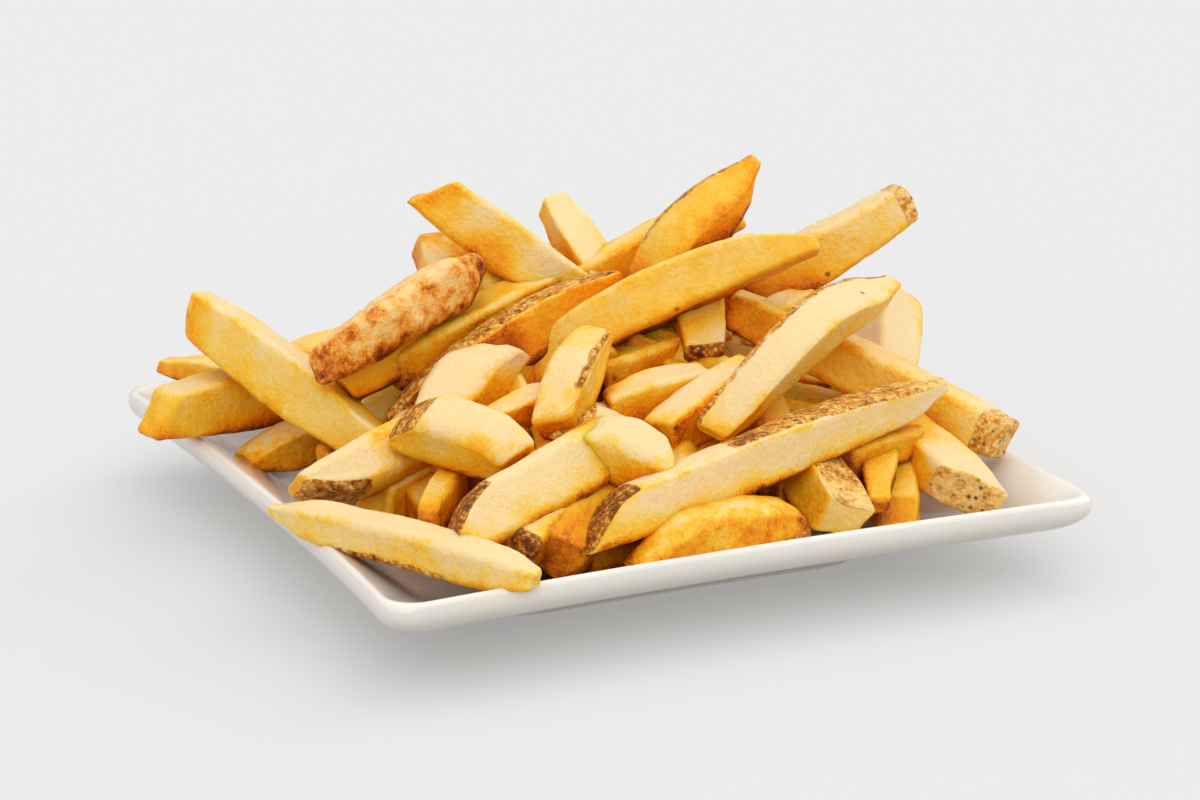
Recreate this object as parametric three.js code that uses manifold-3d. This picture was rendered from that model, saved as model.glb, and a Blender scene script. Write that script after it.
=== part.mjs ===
// A portion of thick-cut, skin-on french fries heaped on a small square porcelain dish.
// Millimetres, +Z up. The origin is the middle of the dish's flat base, on the table, and
// X and Y run along the dish's sides.

import * as THREE from 'three';
import { mergeVertices } from 'three/addons/utils/BufferGeometryUtils.js';
import Module from 'manifold-3d';

// ---------------------------------------------------------------- driving dimensions

const DISH_SIDE = 180; // across the lip, measured at the corners
const DISH_HEIGHT = 21.7;
const SIDE_BOW = 3.3; // how far the middle of each side pulls in
const LIP_CORNER_RADIUS = 8;
const FOOT_INSET = 37.4; // from the lip to the edge of the flat base
const FLOOR_HEIGHT = 7.4; // of the eating surface, at the middle of the dish
const REST_GAP = 0.35; // between the fries and the glaze

const DISH_COLOUR = 0xf3f1ec;
const FRIES_COLOUR = 0xe3b054;

// The dish's wall as [inset from the lip's outline, height], from the middle of the floor,
// up over the lip and down the outside to the base.
const WALL = [
  [50, 7.5], [40, 8.2], [28, 10.2], [18, 12.8], [14.5, 14.6], [9, 17.8], [4.5, 20.4],
  [2.4, 21.5], [1.4, DISH_HEIGHT], [0.4, 21.0], [0, 19.6], [0.2, 17.6], [1.5, 15.6],
  [4, 14.0], [10, 11.6], [20, 7.8], [30, 4.0], [35.5, 1.9], [36.6, 1.4], [FOOT_INSET, 0],
];

// The mound of fries that the outer ones lie on.
const MOUND = {
  x: 1, y: 4, radius: 64, top: 45, edge: 9, shoulder: 6, bottom: 5, lobes: 0.03,
};

// The fries that shape the heap. Each row is its place in the heap, the middles of its two
// ends, its width and height, the roll about its own length in degrees, and what is special
// about it: cutA and cutB slope an end by [angle, side it leans to], tipA and tipB thin it,
// bow bends it by [sideways, upwards], and rind lets the potato's round outside cut its
// upper face down by [drop at A, over a length, drop at B, over a length, depth that is left].
const OUTER_FRIES = [
  ['left_tall', [-83, 52, 50], [-54, -4, 25], 12, 14, -20, { cutA: [20, 45], bow: [0, 1] }],
  ['left_over_rim', [-98, 39, 30], [-41, 54, 28], 12, 15, 0, { cutA: [28, 270] }],
  ['left_corner', [-80, 84, 28], [-61, 64, 27], 11, 7, 0, { tipA: 0.5 }],
  ['left_low', [-77, 34, 19], [-50, 38, 20], 12, 11, 0, { rind: [6, 14, 0, 1, 0], tipA: 0.8 }],
  ['left_front', [-84, -25, 27], [-42, -12, 34], 12, 12, 135, { rind: [7, 17, 0, 1, 0] }],
  ['front_corner_bridge', [-92, -25, 25], [-55, -91, 24], 10, 8, 0, { tipA: 0.35, tipB: 0.5 }],
  ['front_left_under', [-66, -20, 20], [-36, -6, 25], 12, 11, 0, {}],
  ['front_left_thin', [-63, -49, 24], [-46, -30, 29], 6, 9, 0, {}],
  ['front_left_block', [-60, -23, 42], [-42, -50, 38], 13, 13, 25, { rind: [8, 14, 4, 16, 1], tipB: 0.85 }],
  ['front_wedge', [-71, -66, 25], [-20, -50, 37], 11, 15, -34, { rind: [14, 22, 0, 1, 0] }],
  ['front_block', [-26, -50, 41], [-10, -64, 34], 12, 13, 20, {}],
  ['front_long', [-38, -72, 26], [65, -56, 44], 12, 13, -12, { rind: [12, 19, 4, 50, 0], tipB: 0.45 }],
  ['centre_left_round', [-49, -17, 36], [-25, -2, 49], 14, 13, 10, { rind: [0, 1, 4, 12, 0], tipB: 0.8 }],
  ['centre_upright', [-27, -38, 39], [-8, -20, 56], 11, 10, 0, { rind: [0, 1, 4, 20, 0], tipB: 0.8 }],
  ['centre_skin_end', [-26, -35, 40], [-5, -36, 31], 12, 12, 0, { rind: [10, 14, 0, 1, 1] }],
  ['centre_short', [-36, -22, 37], [-11, -15, 38], 11, 11, 0, {}],
  ['front_spotted', [-52, -68, 22], [-29, -48, 30], 12, 12, 20, {}],
  ['front_orange', [-41, -69, 20], [-16, -47, 28], 15, 14, 30, {}],
  ['front_rim_crisp', [-27, -80, 22], [16, -76, 25], 12, 12, 0, { rind: [9, 18, 3, 12, 0] }],
  ['front_right_stub', [27, -79, 22], [27, -48, 34], 12, 12, 14, { cutA: [25, 200] }],
  ['right_low', [63, -73, 21], [58, -46, 30], 15, 12, 8, { cutA: [50, 180] }],
  ['right_long', [83, -55, 26], [35, -3, 52], 12, 12, 10, { cutA: [12, 180], tipA: 0.85 }],
  ['right_back_pale', [86, 9, 42], [64, -32, 35], 13, 13, 40, {}],
  ['right_curved', [6, -51, 40], [68, -26, 62], 12, 12, 20,
    { rind: [8, 30, 8, 30, 0], bow: [0, 3], tipB: 0.5 }],
  ['middle_big', [-19, 4, 37], [49, -20, 72], 11, 13, -28,
    { rind: [0, 1, 7, 24, 1], bow: [0, 4], tipB: 0.8 }],
  ['middle_skin_long', [-51, 4, 32], [8, 5, 61], 10, 14, -10, { rind: [3, 30, 5, 25, 0] }],
  ['left_crisp', [-67, 2, 49], [-20, 19, 64], 12, 12, 80,
    { rind: [2, 20, 5, 16, 0], tipA: 0.95, tipB: 0.5 }],
  ['top_left_long', [-25, 40, 77], [14, 11, 45], 10, 13, -18, { cutA: [32, 270] }],
  ['top_middle', [9, 42, 70], [17, 9, 45], 11, 9, 0, { tipA: 0.7 }],
  ['top_back', [6, 26, 52], [46, 14, 71], 11, 11, 0, {}],
  ['top_curved', [13, 5, 48], [42, -1, 88], 14, 13, 25,
    { rind: [4, 30, 10, 30, 0], bow: [0, 2], tipB: 0.4 }],
  ['top_right', [43, 4, 51], [85, -1, 72], 11, 12, -10, {}],
  ['centre_low_left', [-10, -31, 39], [19, -26, 41], 11, 12, 0, {}],
  ['centre_low_right', [-2, -41, 35], [26, -32, 44], 11, 12, 0, {}],
  ['centre_skin_tip', [22, -16, 43], [28, 6, 62], 12, 8, 0, {}],
  ['centre_inner', [0, -7, 39], [24, -5, 43], 11, 12, 0, {}],
  ['back_left_nub', [-11, 18, 44], [-12, 43, 61], 10, 10, 0, {}],
  ['left_behind_skin', [-47, 13, 43], [1, 21, 54], 11, 12, 0, {}],
  ['left_behind_crisp', [-60, 11, 41], [-25, 20, 51], 11, 11, 0, {}],
  ['top_left_nub', [-19, 53, 60], [-19, 31, 46], 12, 12, 0, {}],
  ['right_thin', [39, -73, 21], [50, -54, 31], 8, 7, 10, { tipA: 0.7 }],
  ['right_yellow', [46, -71, 18], [54, -45, 27], 13, 10, 0, { cutA: [45, 270] }],
  ['right_stub', [57, -55, 31], [35, -61, 29], 10, 9, 0, {}],
  ['right_behind', [55, -4, 51], [39, -13, 48], 9, 9, 0, {}],
  ['back_left_low', [-58, 68, 24], [4, 58, 34], 12, 12, 8, { cutA: [20, 0] }],
  ['back_right_low', [74, 60, 24], [12, 72, 22], 12, 11, -10, { rind: [3, 40, 6, 40, 0] }],
  ['back_lean_left', [-22, 80, 23], [-10, 32, 50], 12, 12, 20, { cutA: [25, 180] }],
  ['back_lean_middle', [34, 80, 22], [30, 38, 47], 12, 12, -15, { rind: [8, 22, 0, 1, 0] }],
  ['back_far_left', [-74, 54, 30], [-32, 30, 46], 12, 12, 10, { rind: [3, 40, 6, 40, 0] }],
  ['back_far_right', [80, 22, 26], [40, 58, 36], 12, 12, 0, { cutB: [30, 90] }],
  ['back_lean_right', [62, 74, 23], [48, 28, 46], 12, 12, 30, { rind: [8, 22, 0, 1, 0] }],
  ['back_lean_corner', [-48, 78, 22], [-46, 36, 38], 12, 11, -20, { rind: [3, 40, 6, 40, 0] }],
  ['back_high_right', [2, 62, 40], [56, 46, 42], 12, 12, -5, {}],
  ['back_high_left', [-34, 58, 42], [24, 44, 53], 11, 12, 15, { rind: [8, 22, 0, 1, 0] }],
  ['back_shoulder', [70, 4, 38], [34, 40, 52], 12, 12, -10, { rind: [3, 40, 6, 40, 0] }],
  ['back_rim', [12, 81, 21], [-32, 72, 24], 11, 11, 0, {}],
  ['right_side', [82, -14, 25], [72, 44, 25], 12, 12, 12, { rind: [8, 22, 0, 1, 0] }],
  ['back_top', [50, 20, 52], [2, 36, 56], 12, 12, 5, { rind: [3, 40, 6, 40, 0] }],
  ['back_left_short', [-8, 66, 30], [-38, 66, 32], 11, 11, 25, {}],
  ['inner_left', [-47, -60, 22], [-30, -20, 34], 12, 12, 10, {}],
  ['inner_front_left', [-58, -36, 30], [-34, -30, 36], 12, 12, 0, {}],
  ['inner_middle', [-12, -66, 24], [-14, -24, 38], 12, 12, 0, {}],
  ['inner_right', [22, -64, 26], [30, -22, 42], 12, 12, 20, {}],
];

const FRY_SIDES = 8; // points round a fry
const PLAIN_STEPS = 2; // lengths of surface along a straight fry
const SHAPED_STEPS = 3; // and along one that is bent or trimmed by the rind
const SQUARENESS = 0.4; // power that squares up the round section
const CROWN = 0.18; // how much the potato's outside arches across a fry
const THINNEST = 0.75; // share of the half height that the rind may take off below the axis
const TIP_LENGTH = 8; // over which a thinned end fades in

// ---------------------------------------------------------------- shared helpers

const wasm = await Module();
wasm.setup();

const radians = THREE.MathUtils.degToRad;

/** A closed skin over a stack of rings of equally many points, closed by a point at each end. */
function skinOverRings(firstPoint, rings, lastPoint) {
  const count = rings[0].length;
  const points = [firstPoint, ...rings.flat(), lastPoint];
  const last = points.length - 1;
  const index = [];
  for (let i = 0; i < count; i += 1) {
    const j = (i + 1) % count;
    index.push(0, 1 + j, 1 + i);
    for (let r = 0; r < rings.length - 1; r += 1) {
      const here = 1 + r * count;
      const next = here + count;
      index.push(here + i, here + j, next + j, here + i, next + j, next + i);
    }
    const end = 1 + (rings.length - 1) * count;
    index.push(end + i, end + j, last);
  }
  const geometry = new THREE.BufferGeometry().setFromPoints(points);
  geometry.setIndex(index);
  return geometry;
}

function toSolid(geometry) {
  const bare = geometry.clone();
  bare.deleteAttribute('normal');
  bare.deleteAttribute('uv');
  const merged = mergeVertices(bare);
  return new wasm.Manifold(new wasm.Mesh({
    numProp: 3,
    vertProperties: new Float32Array(merged.attributes.position.array),
    triVerts: new Uint32Array(merged.index.array),
  }));
}

function toGeometry(solid) {
  const { vertProperties, triVerts } = solid.getMesh();
  const geometry = new THREE.BufferGeometry();
  geometry.setAttribute('position', new THREE.BufferAttribute(new Float32Array(vertProperties), 3));
  geometry.setIndex(Array.from(triVerts));
  geometry.computeVertexNormals();
  return geometry;
}

// ---------------------------------------------------------------- the dish

/** The dish's outline at an inset: a rounded square whose sides pull in at their middles. */
function dishRing(inset, height, reversed) {
  const half = DISH_SIDE / 2 - inset;
  const radius = Math.min(LIP_CORNER_RADIUS + 0.25 * Math.max(inset, 0), 0.6 * half);
  const bow = SIDE_BOW * Math.max(0, 1 - inset / 60);
  const cornerSteps = 4;
  const sideSteps = 5;
  const flat = [];
  for (let quarter = 0; quarter < 4; quarter += 1) {
    const start = quarter * Math.PI / 2;
    const corner = new THREE.Vector2(half - radius, half - radius).rotateAround(
      new THREE.Vector2(), start,
    );
    for (let k = 0; k <= cornerSteps; k += 1) {
      const angle = start + (k / cornerSteps) * Math.PI / 2;
      flat.push(new THREE.Vector2(Math.cos(angle), Math.sin(angle)).multiplyScalar(radius).add(corner));
    }
    const sideStart = flat[flat.length - 1];
    const along = new THREE.Vector2(-Math.sin(start + Math.PI / 2), Math.cos(start + Math.PI / 2));
    for (let k = 1; k < sideSteps; k += 1) {
      flat.push(sideStart.clone().addScaledVector(along, 2 * (half - radius) * k / sideSteps));
    }
  }
  const ring = flat.map(({ x, y }) => new THREE.Vector3(
    x * (1 - (bow / half) * (1 - (y / half) ** 2)),
    y * (1 - (bow / half) * (1 - (x / half) ** 2)),
    height,
  ));
  return reversed ? ring.reverse() : ring;
}

/** The wall's profile moved out by a gap, square to itself. */
function offsetWall(gap) {
  return WALL.map(([inset, height], k) => {
    const before = WALL[Math.max(k - 1, 0)];
    const after = WALL[Math.min(k + 1, WALL.length - 1)];
    const run = new THREE.Vector2(after[0] - before[0], after[1] - before[1]).normalize();
    return [inset + run.y * gap, height - run.x * gap];
  });
}

function dishGeometry(gap) {
  const rings = offsetWall(gap).map(([inset, height]) => dishRing(inset, height, true));
  const floor = new THREE.Vector3(0, 0, FLOOR_HEIGHT + gap);
  const base = new THREE.Vector3(0, 0, rings[rings.length - 1][0].z);
  return skinOverRings(floor, rings, base);
}

// ---------------------------------------------------------------- the fries

/** The axes of a fry: along it, across it and up, rolled about its own length. */
function fryAxes(endA, endB, roll) {
  const along = endB.clone().sub(endA).normalize();
  const up = new THREE.Vector3(0, 0, 1).addScaledVector(along, -along.z).normalize();
  const across = up.clone().cross(along);
  up.applyAxisAngle(along, radians(roll));
  across.applyAxisAngle(along, radians(roll));
  return { along, across, up };
}

/** How far a cut end reaches past the fry's own end, at a point of its section. */
function cutReach([angle, side], y, z) {
  const lean = radians(side);
  return Math.tan(radians(angle)) * (y * Math.cos(lean) + z * Math.sin(lean));
}

/** One fry: a squared-up section carried from end to end and trimmed by the potato's outside. */
function fryGeometry([, pointA, pointB, width, height, roll, special]) {
  const {
    cutA = [0, 0], cutB = [0, 0], tipA = 0.92, tipB = 0.92, bow = [0, 0], rind,
  } = special;
  const endA = new THREE.Vector3(...pointA);
  const endB = new THREE.Vector3(...pointB);
  const length = endA.distanceTo(endB);
  const { along, across, up } = fryAxes(endA, endB, roll);

  const sectionPoint = (share, angle) => {
    const fromA = share * length;
    const fromB = length - fromA;
    const scale = 1 - (1 - tipA) * Math.exp(-((fromA / TIP_LENGTH) ** 2))
      - (1 - tipB) * Math.exp(-((fromB / TIP_LENGTH) ** 2));
    const square = (wave) => Math.sign(wave) * Math.abs(wave) ** SQUARENESS;
    const y = square(Math.cos(angle)) * width / 2 * scale;
    let z = square(Math.sin(angle)) * height / 2 * scale;
    if (rind) {
      const [dropA, lengthA, dropB, lengthB, left] = rind;
      const outside = height / 2 + left - dropA * Math.max(0, 1 - fromA / lengthA) ** 2
        - dropB * Math.max(0, 1 - fromB / lengthB) ** 2 - CROWN * height / 2 * (2 * y / width) ** 2;
      z = Math.min(z, Math.max(outside, -THINNEST * height / 2));
    }
    const reach = fromB / length * -cutReach(cutA, y, z) + share * cutReach(cutB, y, z);
    const arch = 4 * share * (1 - share);
    return endA.clone()
      .addScaledVector(along, fromA + reach)
      .addScaledVector(across, y + bow[0] * arch)
      .addScaledVector(up, z + bow[1] * arch);
  };

  const steps = rind || special.bow ? SHAPED_STEPS : PLAIN_STEPS;
  const rings = [];
  for (let step = 0; step <= steps; step += 1) {
    const ring = [];
    for (let k = 0; k < FRY_SIDES; k += 1) {
      ring.push(sectionPoint(step / steps, (k + 0.5) / FRY_SIDES * 2 * Math.PI));
    }
    rings.push(ring);
  }
  const middleOf = (ring) => ring.reduce((sum, p) => sum.add(p), new THREE.Vector3())
    .divideScalar(ring.length);
  return skinOverRings(middleOf(rings[0]), rings, middleOf(rings[rings.length - 1]));
}

/** The mound: a paraboloid with a slightly lobed outline, over a shallow cone underneath. */
function moundGeometry() {
  const sides = 24;
  const levels = 5;
  const shoulder = MOUND.edge + MOUND.shoulder;
  const at = (share, angle) => {
    const lobed = 1 + MOUND.lobes * (Math.sin(3 * angle + 1) + 0.6 * Math.sin(5 * angle));
    const radius = MOUND.radius * share * lobed;
    return new THREE.Vector3(
      MOUND.x + radius * Math.cos(angle),
      MOUND.y + radius * Math.sin(angle),
      shoulder + (MOUND.top - shoulder) * (1 - share ** 2),
    );
  };
  const rings = [];
  for (let level = 0; level < levels; level += 1) {
    const ring = [];
    for (let k = 0; k < sides; k += 1) {
      const angle = (k / sides) * 2 * Math.PI;
      ring.push(at(1 - level / levels, angle));
    }
    rings.push(ring);
  }
  const underside = rings[0].map((p) => new THREE.Vector3(p.x, p.y, MOUND.edge));
  return skinOverRings(
    new THREE.Vector3(MOUND.x, MOUND.y, MOUND.bottom),
    [underside, ...rings],
    new THREE.Vector3(MOUND.x, MOUND.y, MOUND.top),
  );
}

/** The heap: the mound and every fry as one solid, kept clear of the dish. */
function heapGeometry() {
  let heap = toSolid(moundGeometry());
  for (const row of OUTER_FRIES) {
    heap = heap.add(toSolid(fryGeometry(row)));
  }
  return toGeometry(heap.subtract(toSolid(dishGeometry(REST_GAP))));
}

// ---------------------------------------------------------------- the object

const dish = new THREE.Mesh(
  dishGeometry(0),
  new THREE.MeshStandardMaterial({ color: DISH_COLOUR, roughness: 0.15, metalness: 0 }),
);
dish.name = 'plate';

const fries = new THREE.Mesh(
  heapGeometry(),
  new THREE.MeshStandardMaterial({ color: FRIES_COLOUR, roughness: 0.55, metalness: 0 }),
);
fries.name = 'fries_heap';

const portion = new THREE.Group();
portion.add(dish, fries);

export default portion;
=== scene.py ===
import math
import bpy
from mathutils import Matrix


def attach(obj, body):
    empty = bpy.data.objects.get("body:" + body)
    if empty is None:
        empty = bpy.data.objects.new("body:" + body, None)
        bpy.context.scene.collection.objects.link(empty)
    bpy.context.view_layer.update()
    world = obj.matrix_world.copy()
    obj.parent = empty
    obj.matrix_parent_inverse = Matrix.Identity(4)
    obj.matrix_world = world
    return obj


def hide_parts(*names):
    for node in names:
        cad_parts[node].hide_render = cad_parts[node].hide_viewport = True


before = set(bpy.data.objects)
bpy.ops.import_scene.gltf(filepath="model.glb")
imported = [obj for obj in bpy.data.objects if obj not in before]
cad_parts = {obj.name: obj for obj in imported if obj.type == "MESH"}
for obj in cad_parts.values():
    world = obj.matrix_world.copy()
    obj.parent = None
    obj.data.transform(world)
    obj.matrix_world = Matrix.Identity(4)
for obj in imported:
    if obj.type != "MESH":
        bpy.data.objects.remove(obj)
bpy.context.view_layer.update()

from types import SimpleNamespace

import bpy
import numpy as np
from bpy.props import FloatProperty, FloatVectorProperty, IntProperty, PointerProperty
from bpy.types import Operator, Panel, PropertyGroup
from mathutils import Vector

bl_info = {
    "name": "French fries portion",
    "version": (1, 0, 0),
    "blender": (4, 5, 0),
    "location": "View3D > Sidebar > Fries",
    "description": "Skin-on french fries heaped on a square porcelain dish",
    "category": "Object",
}

MM = 0.001
GOLDEN_ANGLE = 137.508
GOLDEN_SHARE = 0.618034
# How far in from a fry's end, in millimetres, its thinning, toast, raggedness and rim reach.
TIP_REACH, TOAST_REACH, RAGGED_REACH, RIM_REACH = 8.0, 9.0, 2.5, 1.2
# In millimetres: how far a cap sinks in, and the drop from which the rind trims an end.
CAP_SINK, SHARP_DROP = 0.35, 5.0
# For the painted crevice shade: millimetres to a neighbour's middle line at which a point is
# crowded and free, the share that the nearest neighbour leaves free, and how far past its half
# length it doesn't count.
CROWDED_AT, FREE_AT, LEFT_FREE, TOO_FAR = 4.0, 11.0, 0.15, 75.0
# Heights in metres over which the glaze turns from its painted shade below to full white at the
# lip, and bare at the foot.
SHADE_TO_LIP_BAND, FOOT_BAND = (0.0150, 0.0215), (0.0004, 0.0009)
# Layers on each fry's points; tone holds its own tone with painted light and shade added.
LAYERS = ("rim", "skin", "toast", "tone", "eyes", "blister")

# The dish's wall as (inset from the lip's outline, height) in millimetres, from the middle of
# the floor, up over the lip and down the outside to the base.
WALL = (
    (50, 7.5), (40, 8.2), (28, 10.2), (18, 12.8), (14.5, 14.6), (9, 17.8), (4.5, 20.4),
    (2.4, 21.5), (1.4, 21.7), (0.4, 21.0), (0, 19.6), (0.2, 17.6), (1.5, 15.6), (4, 14.0),
    (10, 11.6), (20, 7.8), (30, 4.0), (35.5, 1.9), (36.6, 1.4), (37.4, 0),
)

# Each fry: its name, the middles of its two ends A and B, its width and height in millimetres,
# the roll about its own length in degrees, and what is special about it. A place along it is a
# share of its length, from 0 at A to 1 at B.
#   cut_a, cut_b    slope of an end: (degrees, side it leans to), where (0, 0) is square
#   tip_a, tip_b    share of the section that is left at an end
#   bow, twist      how far the middle lies off (sideways, upwards); turn over the length
#   rind            the potato's round outside, which trims the upper side: (drop at A, over a
#                   length, drop at B, over a length, depth left)
#   skin            how much of that outside keeps its skin (the A half, the B half)
#   skin_a, skin_b  skin for that many millimetres in from an end
#   side            skin on one side: (degrees from across towards up, from, to)
#   edge            skin along one edge: (side across, side up, millimetres wide, from, to)
#   tone            pale at 0 to golden at 1
#   toast, scorch   darker: all over, toast_a and toast_b at an end, scorch the skin near A
#   rim, eyes       how far its edges darken, and how many dark spots it has
#   blister, rough  how blotchy it is, and how rough, as a multiple of the usual
# PLAIN is what holds where a row says nothing; tone, bow and twist are then left to chance, and
# so is a cut, unless the rind trims that end.
PLAIN = dict(
    cut_a=None, cut_b=None, tip_a=0.88, tip_b=0.88, rind=(0, 1, 0, 1, 9), skin=(0, 0),
    skin_a=0, skin_b=0, side=None, edge=None, toast=0.0, toast_a=0.06, toast_b=0.06, scorch=0.0,
    rim=0.4, eyes=0.08, blister=0.22, rough=1.0,
)
ROUNDED = dict(rind=(3, 40, 6, 40, 0))
SKIN_TIP = dict(rind=(8, 22, 0, 1, 0), skin=(1, 1))
PALE_FRIES = (
    ("left_front", (-84, -25, 27), (-42, -12, 34), 12, 12, 135,
     dict(rind=(7, 17, 0, 1, 0), skin=(1, 0), tone=0.1, toast_a=-0.1, scorch=0.1)),
    ("front_corner_bridge", (-92, -25, 25), (-55, -91, 24), 10, 8, 0,
     dict(tip_a=0.35, tip_b=0.5, tone=0.05, blister=0.5, cut_b=(0, 0),
          edge=(-1, -1, 2.4, 0.25, 0.7))),
    ("front_left_thin", (-63, -49, 24), (-46, -30, 29), 6, 9, 0, dict(tone=0.8)),
    ("front_left_block", (-60, -23, 42), (-42, -50, 38), 13, 13, 25,
     dict(rind=(8, 14, 4, 16, 1), skin=(1, 0), tone=0.1, tip_b=0.85)),
    ("front_wedge", (-71, -66, 25), (-20, -50, 37), 11, 15, -34,
     dict(rind=(14, 22, 0, 1, 0), skin=(1, 0), tone=0.2, scorch=0.22, twist=10, bow=(0, 0))),
    ("front_block", (-26, -50, 41), (-10, -64, 34), 12, 13, 20, dict(tone=-0.1)),
    ("centre_left_round", (-49, -17, 36), (-25, -2, 49), 14, 13, 10,
     dict(rind=(0, 1, 4, 12, 0), tip_b=0.8, tone=-0.1, toast_b=-0.15)),
    ("centre_upright", (-27, -38, 39), (-8, -20, 56), 11, 10, 0,
     dict(rind=(0, 1, 4, 20, 0), tip_b=0.8, tone=0.3, edge=(-1, 1, 1.6, 0.3, 1))),
    ("centre_skin_end", (-26, -35, 40), (-5, -36, 31), 12, 12, 0,
     dict(rind=(10, 14, 0, 1, 1), skin=(1, 1), tone=0.2)),
    ("front_right_stub", (27, -79, 22), (27, -48, 34), 12, 12, 14,
     dict(cut_a=(25, 200), side=(90, 0.0, 0.8), tone=0.6, toast_a=-0.3)),
    ("right_back_pale", (86, 9, 42), (64, -32, 35), 13, 13, 40, dict(tone=0.0)),
    ("right_curved", (6, -51, 40), (68, -26, 62), 12, 12, 20,
     dict(rind=(8, 30, 8, 30, 0), bow=(0, 3), tip_b=0.5, edge=(1, 1, 2.2, 0, 1), tone=0.1)),
    ("top_middle", (9, 42, 70), (17, 9, 45), 11, 9, 0, dict(tip_a=0.7, tone=0.15)),
    ("top_left_nub", (-19, 53, 60), (-19, 31, 46), 12, 12, 0,
     dict(tone=0.5, blister=1.4)),
    ("centre_low_left", (-10, -31, 39), (19, -26, 41), 11, 12, 0, dict(tone=0.35)),
    ("centre_low_right", (-2, -41, 35), (26, -32, 44), 11, 12, 0, dict(tone=0.35)),
    ("left_corner", (-80, 84, 28), (-61, 64, 27), 11, 7, 0,
     dict(tip_a=0.5, tone=0.6, toast_a=0.3, blister=0.7)),
    ("centre_skin_tip", (22, -16, 43), (28, 6, 62), 12, 8, 0,
     dict(cut_a=(0, 0), skin_a=3.5, tone=0.2, scorch=0.2)),
)
GOLDEN_FRIES = (
    ("left_tall", (-83, 52, 50), (-54, -4, 25), 12, 14, -20,
     dict(cut_a=(20, 45), bow=(0, 1), tone=0.4, toast_a=0.15)),
    ("left_over_rim", (-98, 39, 30), (-41, 54, 28), 12, 15, 0,
     dict(cut_a=(28, 270), tone=0.4, toast_a=0.1)),
    ("left_low", (-77, 34, 19), (-50, 38, 20), 12, 11, 0,
     dict(rind=(6, 14, 0, 1, 0), tip_a=0.8, tone=0.6, blister=1.0)),
    ("front_left_under", (-66, -20, 20), (-36, -6, 25), 12, 11, 0, dict(tone=0.3)),
    ("centre_short", (-36, -22, 37), (-11, -15, 38), 11, 11, 0, dict(tone=0.5)),
    ("front_orange", (-41, -69, 20), (-16, -47, 28), 15, 14, 30,
     dict(tone=0.8, eyes=1.0, blister=0.5)),
    ("right_long", (83, -55, 26), (35, -3, 52), 12, 12, 10,
     dict(tip_a=0.85, tone=0.5, skin_a=7, cut_a=(12, 180), toast_a=-0.2)),
    ("middle_big", (-19, 4, 37), (49, -20, 72), 11, 13, -28,
     dict(rind=(0, 1, 7, 24, 1), bow=(0, 4), tip_b=0.8, tone=0.6, rim=0.2)),
    ("top_left_long", (-25, 40, 77), (14, 11, 45), 10, 13, -18,
     dict(cut_a=(32, 270), tone=0.15, toast_a=0.3)),
    ("top_back", (6, 26, 52), (46, 14, 71), 11, 11, 0, dict(tone=0.6)),
    ("top_curved", (13, 5, 48), (42, -1, 88), 14, 13, 25,
     dict(rind=(4, 30, 10, 30, 0), bow=(0, 2), tip_b=0.4, tone=0.75, edge=(1, 1, 2.6, 0.4, 1))),
    ("top_right", (43, 4, 51), (85, -1, 72), 11, 12, -10,
     dict(cut_b=(0, 0), tone=0.35, skin_b=4.5, toast_b=-0.25)),
    ("centre_inner", (0, -7, 39), (24, -5, 43), 11, 12, 0, dict(tone=0.4)),
    ("back_left_nub", (-11, 18, 44), (-12, 43, 61), 10, 10, 0, dict(tone=0.3)),
    ("left_behind_skin", (-47, 13, 43), (1, 21, 54), 11, 12, 0, dict(tone=0.4)),
    ("left_behind_crisp", (-60, 11, 41), (-25, 20, 51), 11, 11, 0, dict(tone=0.6)),
    ("right_thin", (39, -73, 21), (50, -54, 31), 8, 7, 10, dict(tone=1.0, tip_a=0.7)),
    ("right_yellow", (46, -71, 18), (54, -45, 27), 13, 10, 0,
     dict(cut_a=(45, 270), tone=0.4, rim=0.15)),
    ("right_stub", (57, -55, 31), (35, -61, 29), 10, 9, 0, dict(tone=0.6)),
    ("right_behind", (55, -4, 51), (39, -13, 48), 9, 9, 0, dict(tone=0.4)),
    ("front_rim_crisp", (-27, -80, 22), (16, -76, 25), 12, 12, 0,
     dict(rind=(9, 18, 3, 12, 0), tone=0.8, toast_a=0.1, blister=1.2, edge=(-1, -1, 5.5, 0, 1))),
)
SKIN_ON_FRIES = (
    ("front_long", (-38, -72, 26), (65, -56, 44), 12, 13, -12,
     dict(rind=(12, 19, 4, 50, 0), tip_b=0.45, skin=(1, 0.8), side=(90, 0.42, 1.0), tone=-0.1,
          scorch=0.22, toast_b=-0.4, rim=0.7, twist=26, bow=(0, 0))),
    ("front_spotted", (-52, -68, 22), (-29, -48, 30), 12, 12, 20,
     dict(skin_a=3, tone=0.3, scorch=0.2)),
    ("middle_skin_long", (-51, 4, 32), (8, 5, 61), 10, 14, -10,
     dict(rind=(3, 30, 5, 25, 0), side=(90, 0.0, 1.0), skin_a=8, tone=1.0, toast_a=0.05)),
    ("right_low", (63, -73, 21), (58, -46, 30), 15, 12, 8,
     dict(cut_a=(50, 180), skin_a=0.9, tone=0.4, toast_a=-0.3, eyes=0.5)),
)
CRISP_FRIES = (
    ("left_crisp", (-67, 2, 49), (-20, 19, 64), 12, 12, 80,
     dict(rind=(2, 20, 5, 16, 0), tip_a=0.95, tip_b=0.5, toast_a=0.15, toast_b=0.3,
          tone=0.6, blister=2.0, rough=2.5)),
)
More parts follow.
